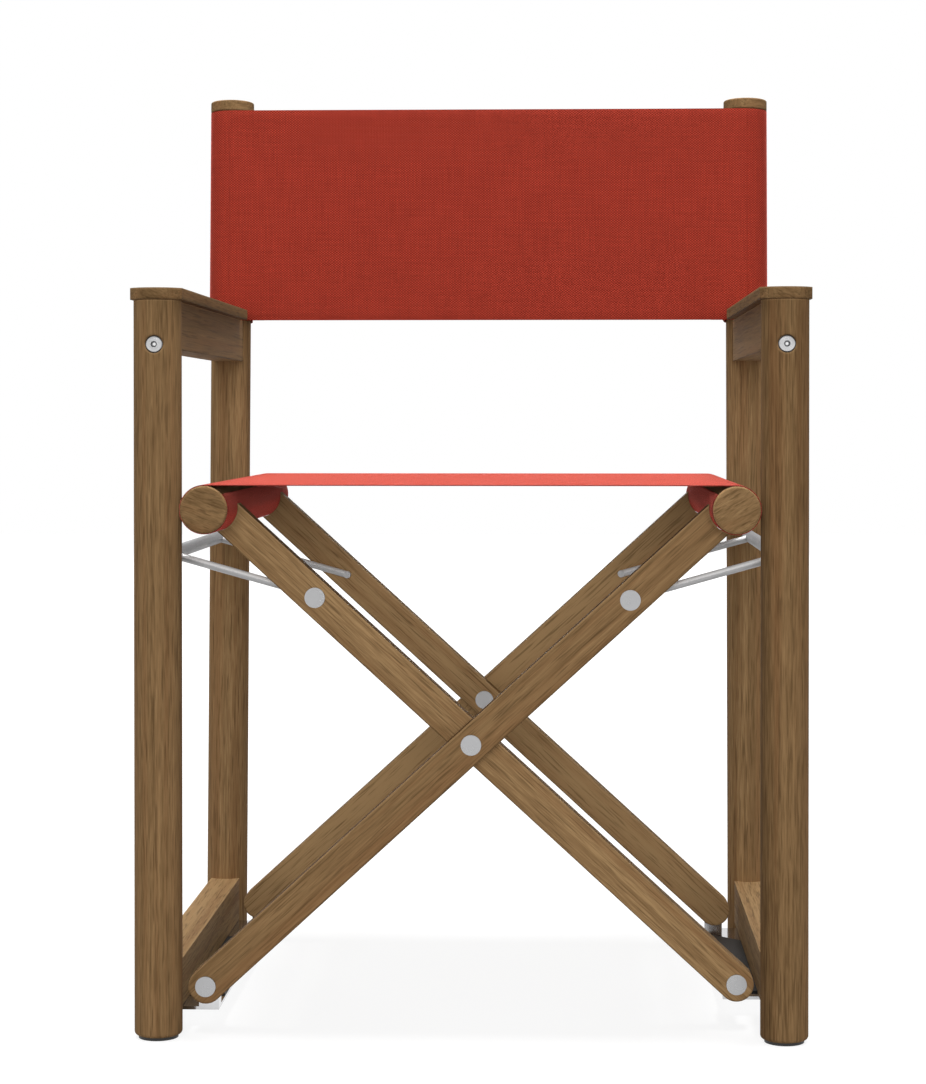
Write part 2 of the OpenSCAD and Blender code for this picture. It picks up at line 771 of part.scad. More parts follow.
front_leg(LEFT);  // left_front_leg
rear_leg(LEFT);  // left_rear_leg
armrest(LEFT);  // left_armrest
upper_rail(LEFT);  // left_upper_rail
lower_rail(LEFT);  // left_lower_rail
arm_bolt(LEFT);  // left_arm_bolt
barrel_nut(LEFT);  // left_barrel_nut
frame_dowels(LEFT);  // left_frame_dowels
armrest_screws(LEFT);  // left_armrest_screws
pivot_bracket(LEFT);  // left_pivot_bracket
bracket_screws(LEFT);  // left_bracket_screws
foot_glides(LEFT);  // left_foot_glides
bottom_pins(LEFT);  // left_bottom_pins
post_cap(LEFT);  // left_post_cap
bracket_liner(LEFT);  // left_bracket_liner
front_leg(RIGHT);  // right_front_leg
rear_leg(RIGHT);  // right_rear_leg
armrest(RIGHT);  // right_armrest
upper_rail(RIGHT);  // right_upper_rail
lower_rail(RIGHT);  // right_lower_rail
arm_bolt(RIGHT);  // right_arm_bolt
barrel_nut(RIGHT);  // right_barrel_nut
frame_dowels(RIGHT);  // right_frame_dowels
armrest_screws(RIGHT);  // right_armrest_screws
pivot_bracket(RIGHT);  // right_pivot_bracket
bracket_screws(RIGHT);  // right_bracket_screws
foot_glides(RIGHT);  // right_foot_glides
bottom_pins(RIGHT);  // right_bottom_pins
post_cap(RIGHT);  // right_post_cap
bracket_liner(RIGHT);  // right_bracket_liner
right_pin_sleeve();
outer_front_bar();
outer_rear_bar();
seat_rail(RIGHT);  // right_seat_rail
rail_screws(RIGHT);  // right_rail_screws
stay_pin(RIGHT);  // right_stay_pin
cross_pins();
cross_washers();
inner_front_bar();
inner_rear_bar();
seat_rail(LEFT);  // left_seat_rail
rail_screws(LEFT);  // left_rail_screws
stay_pin(LEFT);  // left_stay_pin
stay_tube(LEFT);  // left_stay_tube
stay_front_arm(LEFT);  // left_stay_front_arm
stay_rear_arm(LEFT);  // left_stay_rear_arm
stay_tube(RIGHT);  // right_stay_tube
stay_front_arm(RIGHT);  // right_stay_front_arm
stay_rear_arm(RIGHT);  // right_stay_rear_arm
seat_sling();
back_sling();
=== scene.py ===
"""A folding director chair: teak frames and cross bars, steel fittings, a red sling seat and back."""
import math

import bpy
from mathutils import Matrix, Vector


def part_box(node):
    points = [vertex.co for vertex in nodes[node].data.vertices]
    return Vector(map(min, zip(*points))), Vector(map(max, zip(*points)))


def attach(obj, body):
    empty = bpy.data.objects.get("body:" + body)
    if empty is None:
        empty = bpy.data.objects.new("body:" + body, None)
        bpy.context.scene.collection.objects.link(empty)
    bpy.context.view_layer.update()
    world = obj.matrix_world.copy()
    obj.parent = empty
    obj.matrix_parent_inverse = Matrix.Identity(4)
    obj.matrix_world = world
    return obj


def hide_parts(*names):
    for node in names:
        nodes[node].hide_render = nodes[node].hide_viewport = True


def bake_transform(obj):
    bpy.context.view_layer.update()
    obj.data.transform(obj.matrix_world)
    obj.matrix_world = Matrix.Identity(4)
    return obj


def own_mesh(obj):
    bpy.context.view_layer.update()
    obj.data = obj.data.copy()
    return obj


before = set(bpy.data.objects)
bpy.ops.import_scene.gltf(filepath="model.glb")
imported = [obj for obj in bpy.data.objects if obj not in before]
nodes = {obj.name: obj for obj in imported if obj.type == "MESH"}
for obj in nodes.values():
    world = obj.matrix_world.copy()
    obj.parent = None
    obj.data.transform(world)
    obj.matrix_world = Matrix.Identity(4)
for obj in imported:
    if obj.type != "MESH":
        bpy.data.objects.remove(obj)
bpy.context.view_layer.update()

# Sizes from the part's source, in metres. A chair depth is measured from the front leg axes.
ORIGIN_Y = 0.2418335
LEG_X = 0.268
LEG_DEPTH = 0.4325
POST_LEAN = math.radians(3.4)
SEAT_RAIL_X = 0.2261
SEAT_RAIL_Z = 0.4536
CLOTH_THICKNESS = 0.0008
SEAT_WRAP_R = 0.0207
SEAT_FLAP_ANGLE = 40
SEAT_FRONT = -0.0165
SEAT_BACK = 0.440
BACK_LOW = 0.6315 / math.cos(POST_LEAN)
BACK_HEIGHT = 0.2192
SLEEVE_R = 0.0220
SLEEVE_SEAM = 0.025
SLEEVE_TURN_IN = 0.012
SLEEVE_LAP = 0.0004
PANEL_LAP = 0.00095
PANEL_LAP_WIDTH = 0.12
BOLT_HEAD_R = 0.0075
SOCKET_R = 0.0028
SOCKET_FLOOR_R = 0.0010
BAR_LEAN = math.atan2(0.2494 - 0.0391, 0.2301)

# Cloth and timber detail, in metres, and shares by which the grain is drawn out lengthwise
WARP_PITCH = 0.00157
WEFT_PITCH = 0.00125
RUBBED_AND_HIGHLIT_EDGE = 0.0042
GRAIN_DRAWN_OUT = 0.985
FLECK_DRAWN_OUT = 0.955
RAIL_FLECK_DRAWN_OUT = 0.98
END_STREAK_DRAWN_OUT = 0.85

CHAIR_MIDDLE = (0.0, 0.0, 0.45)


def srgb(red, green, blue):
    """A colour as seen on screen, 0 to 255, as the linear colour that a shader takes."""
    def linear(value):
        value /= 255
        return value / 12.92 if value <= 0.04045 else ((value + 0.055) / 1.055) ** 2.4
    return (linear(red), linear(green), linear(blue), 1.0)


# Shader building


class Wiring:
    """Adds nodes to one node tree and links them by socket name."""

    def __init__(self, tree):
        self.tree = tree

    def add(self, kind, values=None, **settings):
        made = self.tree.nodes.new(kind)
        for key, value in settings.items():
            setattr(made, key, value)
        for key, value in (values or {}).items():
            if isinstance(value, bpy.types.NodeSocket):
                self.tree.links.new(value, made.inputs[key])
            else:
                made.inputs[key].default_value = value
        return made

    def math(self, operation, a, b=0.0, clamp=False):
        return self.add("ShaderNodeMath", {0: a, 1: b}, operation=operation, use_clamp=clamp).outputs[0]

    def vector(self, operation, a, b=(0.0, 0.0, 0.0)):
        made = self.add("ShaderNodeVectorMath", {0: a}, operation=operation)
        slot = "Scale" if operation == "SCALE" else 1
        if isinstance(b, bpy.types.NodeSocket):
            self.tree.links.new(b, made.inputs[slot])
        else:
            made.inputs[slot].default_value = b
        return made.outputs["Value" if operation in ("DOT_PRODUCT", "LENGTH") else "Vector"]

    def noise(self, at, scale, detail=2.0, roughness=0.5):
        made = self.add("ShaderNodeTexNoise",
                        {"Vector": at, "Scale": scale, "Detail": detail, "Roughness": roughness})
        return made.outputs["Fac"]

    def between(self, value, low, high, out_low=0.0, out_high=1.0):
        made = self.add("ShaderNodeMapRange", {"Value": value, "From Min": low, "From Max": high,
                                               "To Min": out_low, "To Max": out_high})
        return made.outputs["Result"]

    def mix(self, factor, a, b, blend="MIX"):
        made = self.add("ShaderNodeMix", data_type="RGBA", blend_type=blend)
        for slot, value in ((0, factor), (6, a), (7, b)):
            if isinstance(value, bpy.types.NodeSocket):
                self.tree.links.new(value, made.inputs[slot])
            else:
                made.inputs[slot].default_value = value
        return made.outputs[2]


def new_group(name, inputs, outputs):
    """A shader node group with named sockets, and the wiring and ends to fill it with."""
    group = bpy.data.node_groups.new(name, "ShaderNodeTree")
    for label, kind in inputs:
        group.interface.new_socket(label, in_out="INPUT", socket_type="NodeSocket" + kind)
    for label, kind in outputs:
        group.interface.new_socket(label, in_out="OUTPUT", socket_type="NodeSocket" + kind)
    wiring = Wiring(group)
    return wiring, wiring.add("NodeGroupInput").outputs, wiring.add("NodeGroupOutput")


def teak_grain_group():
    """Straight teak grain along a direction, with slanting streaks on the sawn ends."""
    w, given, out = new_group(
        "teak_grain",
        [("Position", "Vector"), ("Facing", "Vector"), ("Grain", "Vector"), ("End Streak", "Vector"),
         ("Board", "Vector"), ("Paleness And Painted Fill", "Float"), ("Fleck Drawn Out", "Float")],
        [("Color", "Color"), ("Roughness", "Float"), ("Height", "Float")])
    # The position drawn out along the grain, or along the streak on a sawn end
    def drawn_out(direction, share):
        along = w.vector("DOT_PRODUCT", given["Position"], direction)
        line = w.vector("SCALE", direction, w.math("MULTIPLY", along, share))
        return w.vector("SUBTRACT", given["Position"], line)

    end_on = w.vector("DOT_PRODUCT", given["Facing"], given["Grain"])
    on_end = w.between(w.math("ABSOLUTE", end_on), 0.80, 0.88)
    end_place = drawn_out(given["End Streak"], END_STREAK_DRAWN_OUT)

    def on_the_board(share):
        chosen = w.add("ShaderNodeMix", data_type="VECTOR")
        w.tree.links.new(on_end, chosen.inputs[0])
        w.tree.links.new(drawn_out(given["Grain"], share), chosen.inputs[4])
        w.tree.links.new(end_place, chosen.inputs[5])
        return w.vector("ADD", chosen.outputs[1], given["Board"])

    place = on_the_board(GRAIN_DRAWN_OUT)
    fleck_place = on_the_board(given["Fleck Drawn Out"])
    fibre = w.noise(fleck_place, 720.0, 2.0, 0.70)
    streak = w.noise(place, 190.0, 2.0, 0.55)
    band = w.noise(place, 48.0, 2.0, 0.5)
    pore = w.noise(w.vector("ADD", fleck_place, (3.1, 1.7, 0.4)), 620.0, 1.0, 0.5)
    tone = w.math("ADD", w.math("MULTIPLY", fibre, 0.36),
                  w.math("ADD", w.math("MULTIPLY", streak, 0.24), w.math("MULTIPLY", band, 0.24)))
    # Paleness lifts the whole tone: board-to-board variation, and painted fill light on pieces that lie in
    # shade
    depth = w.math("ADD", w.between(tone, 0.24, 0.60), given["Paleness And Painted Fill"])
    ramp = w.add("ShaderNodeValToRGB", {"Fac": depth})
    stops = ramp.color_ramp.elements
    stops[0].position, stops[0].color = 0.0, srgb(83, 62, 39)
    stops[1].position, stops[1].color = 1.0, srgb(180, 146, 103)
    stops.new(0.30).color = srgb(118, 91, 60)
    stops.new(0.52).color = srgb(139, 109, 74)
    stops.new(0.76).color = srgb(155, 123, 85)
    warmth = w.noise(w.vector("ADD", place, (0.9, 4.2, 2.6)), 95.0, 2.0, 0.5)
    warm = w.mix(w.between(warmth, 0.46, 0.66, 0.0, 0.30), ramp.outputs["Color"], srgb(147, 103, 67))
    pores = w.between(pore, 0.56, 0.68)
    colour = w.mix(w.math("MULTIPLY", pores, 0.46), warm, srgb(78, 58, 37))
    ends = w.mix(w.math("MULTIPLY", on_end, 0.10), colour, srgb(70, 50, 30))
    w.tree.links.new(ends, out.inputs["Color"])
    w.tree.links.new(w.between(fibre, 0.25, 0.75, 0.62, 0.76), out.inputs["Roughness"])
    w.tree.links.new(w.math("SUBTRACT", fibre, w.math("MULTIPLY", pores, 0.7)), out.inputs["Height"])
    return w.tree


def sling_weave_group():
    """Close plain weave in staggered crossings, with uneven threads both ways."""
    w, given, out = new_group(
        "sling_weave", [("Cut", "Vector"), ("Warp Pitch", "Float"), ("Weft Pitch", "Float")],
        [("Thread", "Float"), ("Unevenness", "Float"), ("Height", "Float")])
    flat = w.add("ShaderNodeSeparateXYZ", {0: given["Cut"]})
    # The number of a crossing, and the square of the place in it, from -1 to 1
    def crossing(position, pitch):
        count = w.math("DIVIDE", position, pitch)
        middle = w.math("SUBTRACT", w.math("MULTIPLY", w.math("FRACT", count), 2.0), 1.0)
        return w.math("FLOOR", count), w.math("MULTIPLY", middle, middle)

    # A swing from one crossing to the next
    def swing(position, pitch):
        return w.math("SINE", w.math("MULTIPLY", w.math("DIVIDE", position, pitch), math.pi))

    # The roundness of a thread on top of a crossing
    def crown(side, end):
        return w.math("MULTIPLY", w.math("SUBTRACT", 1.0, side),
                      w.math("SUBTRACT", 1.0, w.math("MULTIPLY", end, 0.6)))

    column, off_warp = crossing(flat.outputs[0], given["Warp Pitch"])
    row, off_weft = crossing(flat.outputs[1], given["Weft Pitch"])
    dots = w.math("MULTIPLY", swing(flat.outputs[0], given["Warp Pitch"]),
                  swing(flat.outputs[1], given["Weft Pitch"]))
    weft_over = w.math("FLOORED_MODULO", w.math("ADD", column, row), 2.0)
    warp_crown, weft_crown = crown(off_warp, off_weft), crown(off_weft, off_warp)
    lift = w.math("ADD", w.math("MULTIPLY", warp_crown, w.math("SUBTRACT", 1.0, weft_over)),
                  w.math("MULTIPLY", weft_crown, weft_over))
    thread = w.math("ADD", w.math("MULTIPLY", dots, 0.46), w.between(lift, 0.0, 1.0, 0.40, 0.58), True)
    # Thicker and thinner stretches of single threads
    warp = w.noise(w.vector("MULTIPLY", given["Cut"], (1.0, 0.07, 1.0)), 430.0, 2.0, 0.6)
    weft = w.noise(w.vector("MULTIPLY", given["Cut"], (0.07, 1.0, 1.0)), 470.0, 2.0, 0.6)
    patch = w.noise(given["Cut"], 24.0, 2.0)
    uneven = w.math("ADD", w.math("MULTIPLY", w.math("ADD", warp, weft), 0.42),
                    w.math("MULTIPLY", patch, 0.16))
    w.tree.links.new(thread, out.inputs["Thread"])
    w.tree.links.new(uneven, out.inputs["Unevenness"])
    w.tree.links.new(lift, out.inputs["Height"])
    return w.tree


def edge_light_and_wear_masks():
    """Masks for the upper edges of a piece, which are rubbed and get a painted highlight, and the lower
    ones, which get painted shade.
    """
    w, given, out = new_group("edge_highlight_shade_and_wear", [("Reach", "Float")], [("Wear And Highlight", "Float"), ("Painted Shade", "Float")])
    rounded = w.add("ShaderNodeBevel", {"Radius": given["Reach"]}, samples=6).outputs[0]
    flat = w.add("ShaderNodeNewGeometry").outputs["Normal"]
    turned = w.math("SUBTRACT", 1.0, w.vector("DOT_PRODUCT", rounded, flat))
    edge = w.between(turned, 0.03, 0.25)
    own = w.add("ShaderNodeVectorTransform", {0: rounded},
                vector_type="NORMAL", convert_from="WORLD", convert_to="OBJECT")
    upward = w.add("ShaderNodeSeparateXYZ", {0: own.outputs[0]}).outputs[2]
    # Upward-turned edges: rubbed wear and painted highlight; downward-turned edges: painted shade
    w.tree.links.new(w.math("MULTIPLY", edge, w.between(upward, 0.0, 0.3)), out.inputs["Wear And Highlight"])
    w.tree.links.new(w.math("MULTIPLY", edge, w.between(upward, 0.0, -0.3)), out.inputs["Painted Shade"])
    return w.tree


def worked_metal_group():
    """Fine rubbing marks and handling patches on bare steel, and a mask for a painted highlight on the
    upper side.
    """
    w, given, out = new_group(
        "worked_metal",
        [("Position", "Vector"), ("Facing", "Vector"), ("Stretch", "Vector"), ("Polish", "Float")],
        [("Tone", "Float"), ("Roughness", "Float"), ("Height", "Float"), ("Painted Top Highlight", "Float")])
    marks = w.noise(w.vector("MULTIPLY", given["Position"], given["Stretch"]), 900.0, 3.0, 0.6)
    patches = w.noise(given["Position"], 60.0, 2.0)
    w.tree.links.new(w.between(patches, 0.3, 0.7), out.inputs["Tone"])
    spread = w.math("MULTIPLY", w.math("ADD", marks, patches), given["Polish"])
    w.tree.links.new(spread, out.inputs["Roughness"])
    w.tree.links.new(marks, out.inputs["Height"])
    upward = w.add("ShaderNodeSeparateXYZ", {0: given["Facing"]}).outputs[2]
    # Painted highlight on the upward-facing side, broken up by the marks
    painted_top_highlight = w.between(w.math("ADD", upward, w.math("MULTIPLY", marks, 0.3)), 0.10, 0.50)
    w.tree.links.new(painted_top_highlight, out.inputs["Painted Top Highlight"])
    return w.tree


# How steel's marks run: evenly, or drawn out from front to back
EVEN = (1.0, 1.0, 1.0)
DRAWN_ROD = (1.0, 0.2, 1.0)
DRAWN_PLATE = (1.0, 0.15, 1.0)

TEAK_GRAIN = teak_grain_group()
SLING_WEAVE = sling_weave_group()
WORKED_METAL = worked_metal_group()
EDGE_LIGHT_AND_WEAR = edge_light_and_wear_masks()


def new_material(name):
    """An empty material with its shader, and the wiring to fill it with."""
    material = bpy.data.materials.new(name)
    material.use_nodes = True
    material.node_tree.nodes.clear()
    w = Wiring(material.node_tree)
    surface = w.add("ShaderNodeBsdfPrincipled")
    w.add("ShaderNodeOutputMaterial", {"Surface": surface.outputs[0]})
    return material, w, surface


def add_bump(w, surface, height, strength, distance):
    bump = w.add("ShaderNodeBump", {"Height": height, "Strength": strength, "Distance": distance})
    w.tree.links.new(bump.outputs["Normal"], surface.inputs["Normal"])


def teak(name, grain, end_streak, board, paleness_and_painted_fill, fleck_drawn_out):
    """Oiled teak cut along a grain direction, from its own part of a darker or paler board, made paler
    still as painted fill light where the piece lies in shade.
    """
    material, w, surface = new_material(name)
    place = w.add("ShaderNodeTexCoord").outputs
    made = w.add("ShaderNodeGroup", node_tree=TEAK_GRAIN)
    w.tree.links.new(place["Object"], made.inputs["Position"])
    w.tree.links.new(place["Normal"], made.inputs["Facing"])
    for label, value in (("Grain", grain), ("End Streak", end_streak), ("Board", board),
                         ("Paleness And Painted Fill", paleness_and_painted_fill), ("Fleck Drawn Out", fleck_drawn_out)):
        made.inputs[label].default_value = value
    edges = w.add("ShaderNodeGroup", {"Reach": RUBBED_AND_HIGHLIT_EDGE}, node_tree=EDGE_LIGHT_AND_WEAR).outputs
    # Paler upper edges are rubbed wear and painted highlight; the dark brown on lower edges is painted
    # shade
    worn_and_highlit = w.mix(w.math("MULTIPLY", edges["Wear And Highlight"], 0.62), made.outputs["Color"], srgb(192, 156, 112))
    edge_painted_shade = w.mix(w.math("MULTIPLY", edges["Painted Shade"], 0.75), worn_and_highlit, srgb(52, 38, 24))
    w.tree.links.new(edge_painted_shade, surface.inputs["Base Color"])
    w.tree.links.new(made.outputs["Roughness"], surface.inputs["Roughness"])
    surface.inputs["Specular IOR Level"].default_value = 0.06
    add_bump(w, surface, made.outputs["Height"], 0.14, 0.0005)
    return material


def sling_cloth(name, dark, light, bump):
    """Red woven sling cloth, lighter on the threads and darker in the gaps."""
    material, w, surface = new_material(name)
    cut = w.add("ShaderNodeAttribute", attribute_name="cut").outputs["Vector"]
    made = w.add("ShaderNodeGroup", node_tree=SLING_WEAVE)
    w.tree.links.new(cut, made.inputs["Cut"])
    made.inputs["Warp Pitch"].default_value = WARP_PITCH
    made.inputs["Weft Pitch"].default_value = WEFT_PITCH
    faded = w.mix(made.outputs["Thread"], dark, light)
    # The undersides are brighter and redder: unfaded by the sun, and painted fill light for the shade under
    # the seat
    normal = w.add("ShaderNodeTexCoord").outputs["Normal"]
    facing = w.add("ShaderNodeSeparateXYZ", {0: normal}).outputs[2]
    unfaded_and_painted_fill = w.mix(made.outputs["Thread"], srgb(140, 33, 25), srgb(255, 90, 68))
    thread = w.mix(w.between(facing, 0.0, -0.30), faded, unfaded_and_painted_fill)
    colour = w.mix(w.between(made.outputs["Unevenness"], 0.36, 0.64, 0.0, 0.28), thread, dark)
    # The cloth tints its neighbours only a little
    ray = w.add("ShaderNodeLightPath").outputs
    onward = w.math("MULTIPLY", w.math("MAXIMUM", ray["Is Diffuse Ray"], ray["Is Glossy Ray"]), 0.90)
    w.tree.links.new(w.mix(onward, colour, srgb(78, 71, 62)), surface.inputs["Base Color"])
    w.tree.links.new(w.between(made.outputs["Thread"], 0.0, 1.0, 0.9, 0.78), surface.inputs["Roughness"])
    surface.inputs["Sheen Weight"].default_value = 0.52
    surface.inputs["Sheen Roughness"].default_value = 0.30
    surface.inputs["Sheen Tint"].default_value = srgb(255, 126, 112)
    surface.inputs["Specular IOR Level"].default_value = 0.12
    add_bump(w, surface, made.outputs["Height"], bump, 0.0003)
    return material


def work_metal(w, surface, polish, stretch, metallic):
    """Gives a steel shader its marks, and returns the place and the masks to colour it by."""
    place = w.add("ShaderNodeTexCoord").outputs
    made = w.add("ShaderNodeGroup", {"Stretch": stretch, "Polish": polish}, node_tree=WORKED_METAL)
    w.tree.links.new(place["Object"], made.inputs["Position"])
    w.tree.links.new(place["Normal"], made.inputs["Facing"])
    w.tree.links.new(made.outputs["Roughness"], surface.inputs["Roughness"])
    surface.inputs["Metallic"].default_value = metallic
    add_bump(w, surface, made.outputs["Height"], 0.03, 0.0001)
    return place["Object"], made.outputs


def steel(name, dark, light, polish, stretch, metallic, painted_top_highlight=None):
    """Bare steel, from polished to satin, paler on top where a painted highlight is given."""
    material, w, surface = new_material(name)
    _, masks = work_metal(w, surface, polish, stretch, metallic)
    tone = w.mix(masks["Tone"], dark, light)
    if painted_top_highlight:
        tone = w.mix(masks["Painted Top Highlight"], tone, painted_top_highlight)
    w.tree.links.new(tone, surface.inputs["Base Color"])
    return material


def socket_bolt_steel(side):
    """The arm bolt: satin steel with painted shade in its hex socket and round its rim, and a painted glint
    on the socket's floor.
    """
    low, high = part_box(f"{side}_arm_bolt")
    material, w, surface = new_material(f"bolt_steel_{side}")
    place, masks = work_metal(w, surface, 0.40, EVEN, 0.8)
    tone = w.mix(masks["Tone"], srgb(188, 188, 189), srgb(206, 206, 207))
    axis = ((low[0] + high[0]) / 2, 0.0, (low[2] + high[2]) / 2)
    offset = w.vector("MULTIPLY", w.vector("SUBTRACT", place, axis), (1.0, 0.0, 1.0))
    reach = w.vector("LENGTH", offset)
    on_the_wall = w.between(reach, SOCKET_FLOOR_R, SOCKET_FLOOR_R + 0.0006)
    # Painted shade down the socket's walls and a painted glint on its floor
    socket = w.mix(on_the_wall, srgb(245, 245, 245), srgb(98, 98, 100))
    # Painted shade round the rim of the head
    painted_rim_shade = w.mix(w.between(reach, BOLT_HEAD_R - 0.0012, BOLT_HEAD_R), tone, srgb(120, 120, 122))
    colour = w.mix(w.between(reach, SOCKET_R - 0.0003, SOCKET_R), socket, painted_rim_shade)
    w.tree.links.new(colour, surface.inputs["Base Color"])
    return material


def black_nylon(name):
    """Moulded nylon with a fine matt skin."""
    material, w, surface = new_material(name)
    place = w.add("ShaderNodeTexCoord").outputs["Object"]
    skin = w.noise(place, 1800.0, 2.0)
    w.tree.links.new(w.mix(skin, srgb(14, 14, 14), srgb(34, 33, 32)), surface.inputs["Base Color"])
    w.tree.links.new(w.between(skin, 0.3, 0.7, 0.45, 0.6), surface.inputs["Roughness"])
    add_bump(w, surface, skin, 0.2, 0.0001)
    return material


def dress(node, material):
    """Gives a CAD node its finish."""
    slots = nodes[node].data.materials
    slots.clear()
    slots.append(material)


# Timber


def dress_timber():
    """Teak for each wooden node: the grain, the streak on its ends and the paleness of its board, partly
    painted fill light for pieces in shade.
    """
    upright, lengthwise = (0.0, 0.0, 1.0), (0.0, 1.0, 0.0)
    leaning = (0.0, math.sin(POST_LEAN), math.cos(POST_LEAN))
    rising = (math.cos(BAR_LEAN), 0.0, math.sin(BAR_LEAN))
    falling = (-math.cos(BAR_LEAN), 0.0, math.sin(BAR_LEAN))
    slant_left = Vector((0.94, 0.0, -0.34)).normalized()[:]
    slant_right = Vector((0.87, 0.0, 0.50)).normalized()[:]
    top_streak = (0.95, 0.31, 0.0)
    across = (0.8, 0.6, 0.0)
    # The last value is the paleness; the larger ones are painted fill light for pieces lying in shade under
    # the seat and armrests
    cuts = {
        "front_leg": (upright, top_streak, 0.02), "rear_leg": (leaning, top_streak, 0.24),
        "armrest": (lengthwise, slant_left, -0.05), "upper_rail": (lengthwise, slant_right, 0.09),
        "lower_rail": (lengthwise, slant_left, 0.42), "frame_dowels": (lengthwise, slant_right, 0.0),
        "post_cap": (across, slant_right, 0.0),
    }
    pieces = {f"{side}_{piece}": cut for side in ("left", "right") for piece, cut in cuts.items()}
    pieces |= {
        "right_front_leg": (upright, top_streak, -0.06),
        "left_seat_rail": (lengthwise, slant_left, 0.0), "right_seat_rail": (lengthwise, slant_right, 0.16),
        "outer_front_bar": (rising, lengthwise, 0.05), "outer_rear_bar": (rising, lengthwise, 0.50),
        "inner_front_bar": (falling, lengthwise, 0.27), "inner_rear_bar": (falling, lengthwise, 0.50),
    }
    for board, (node, (grain, streak, paleness_and_painted_fill)) in enumerate(pieces.items(), 1):
        flecks = RAIL_FLECK_DRAWN_OUT if node.endswith("upper_rail") else FLECK_DRAWN_OUT
        place = (board * 1.37, board * 0.71, board * 0.53)
        dress(node, teak(f"teak_{node}", grain, streak, place, paleness_and_painted_fill, flecks))


# Metal and nylon


def dress_fittings():
    """Steel and nylon for the pins, stays, brackets, bolts, screws, glides and strips."""
    cap = steel("pin_cap_steel", srgb(168, 168, 169), srgb(174, 174, 175), 0.34, EVEN, 0.9)
    # The stay rods get a white painted highlight on their upper side
    rod = steel("stay_steel", srgb(176, 176, 177), srgb(188, 188, 189), 0.42, DRAWN_ROD, 0.15,
                painted_top_highlight=srgb(255, 255, 255))
    tube = steel("stay_tube_steel", srgb(146, 147, 149), srgb(154, 155, 157), 0.50, DRAWN_ROD, 0.3)
    plate = steel("bracket_steel", srgb(196, 196, 197), srgb(207, 207, 208), 0.10, DRAWN_PLATE, 0.95)
    screw = steel("screw_steel", srgb(150, 150, 152), srgb(172, 172, 173), 0.30, EVEN, 1.0)
    nylon = black_nylon("black_nylon")
    for node in ("cross_pins", "left_bottom_pins", "right_bottom_pins", "left_stay_pin", "right_stay_pin"):
        dress(node, cap)
    for side in ("left", "right"):
        for piece in ("stay_front_arm", "stay_rear_arm"):
            dress(f"{side}_{piece}", rod)
        dress(f"{side}_stay_tube", tube)
        dress(f"{side}_pivot_bracket", plate)
        dress(f"{side}_arm_bolt", socket_bolt_steel(side))
        for piece in ("barrel_nut", "armrest_screws", "bracket_screws", "rail_screws"):
            dress(f"{side}_{piece}", screw)
        for piece in ("foot_glides", "bracket_liner"):
            dress(f"{side}_{piece}", nylon)
    for node in ("right_pin_sleeve", "cross_washers"):
        dress(node, nylon)


# Slings


def arc_points(centre, radius, start, end, steps):
    """Points on an arc, from a start to an end angle in degrees."""
    turn = [math.radians(start + (end - start) * i / steps) for i in range(steps + 1)]
    return [(centre[0] + radius * math.cos(a), centre[1] + radius * math.sin(a)) for a in turn]


def line_points(start, end, steps):
    """Points from just after the start of a straight run to its end."""
    return [(start[0] + (end[0] - start[0]) * i / steps, start[1] + (end[1] - start[1]) * i / steps)
            for i in range(1, steps + 1)]


def sling_cloth_strip(name, path, runs, place, materials, cut_start=0.0, cut_way=1):
    """A strip of cloth that follows a path, drawn out along its runs, with its flat cut stored on it."""
    lengths = [0.0]
    for a, b in zip(path, path[1:]):
        lengths.append(lengths[-1] + math.dist(a, b))
    corners = [place(point, run) for point in path for run in runs]
    n = len(runs)
    faces = [(i * n + j, i * n + j + 1, (i + 1) * n + j + 1, (i + 1) * n + j)
             for i in range(len(path) - 1) for j in range(n - 1)]
    mesh = bpy.data.meshes.new(name)
    mesh.from_pydata(corners, [], faces)
    cut = mesh.attributes.new("cut", "FLOAT_VECTOR", "POINT")
    flat = [value for length in lengths for run in runs
            for value in (cut_start + cut_way * length, run, 0.0)]
    cut.data.foreach_set("vector", flat)
    for face in mesh.polygons:
        face.use_smooth = True
    for material in materials:
        mesh.materials.append(material)
    strip = bpy.data.objects.new(name, mesh)
    bpy.context.scene.collection.objects.link(strip)
    shell = strip.modifiers.new("cloth thickness", "SOLIDIFY")
    shell.thickness, shell.offset, shell.material_offset_rim = CLOTH_THICKNESS, 0.0, 1
    crisp = strip.modifiers.new("crisp cut edges", "WEIGHTED_NORMAL")
    crisp.mode, crisp.weight = "FACE_AREA", 100
    return strip, lengths[-1]


def even_steps(low, high, count):
    """Values from a low to a high one in equal steps."""
    return [low + (high - low) * i / count for i in range(count + 1)]


def make_seat_sling(materials):
    """The seat: flat across the top, wrapped under both rails to a flap on their inner sides."""
    left, right = (-SEAT_RAIL_X, SEAT_RAIL_Z), (SEAT_RAIL_X, SEAT_RAIL_Z)
    wrap = arc_points(left, SEAT_WRAP_R, SEAT_FLAP_ANGLE, -270, 62)
    across = line_points(wrap[-1], (SEAT_RAIL_X, SEAT_RAIL_Z + SEAT_WRAP_R), 64)
    far_wrap = arc_points(right, SEAT_WRAP_R, 90, -180 - SEAT_FLAP_ANGLE, 62)[1:]
    path = wrap + across + far_wrap
    runs = even_steps(SEAT_FRONT, SEAT_BACK, 40)
    seat, width = sling_cloth_strip(
        "seat_sling_cloth", path, runs, lambda p, run: (p[0], run - ORIGIN_Y, p[1]), materials)
    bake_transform(seat)
    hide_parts("seat_sling")


def on_the_posts(point, run):
    """A point across the posts and a height along them, in the chair's frame."""
    across, depth = point
    return (across,
            LEG_DEPTH + depth * math.cos(POST_LEAN) + run * math.sin(POST_LEAN) - ORIGIN_Y,
            run * math.cos(POST_LEAN) - depth * math.sin(POST_LEAN))


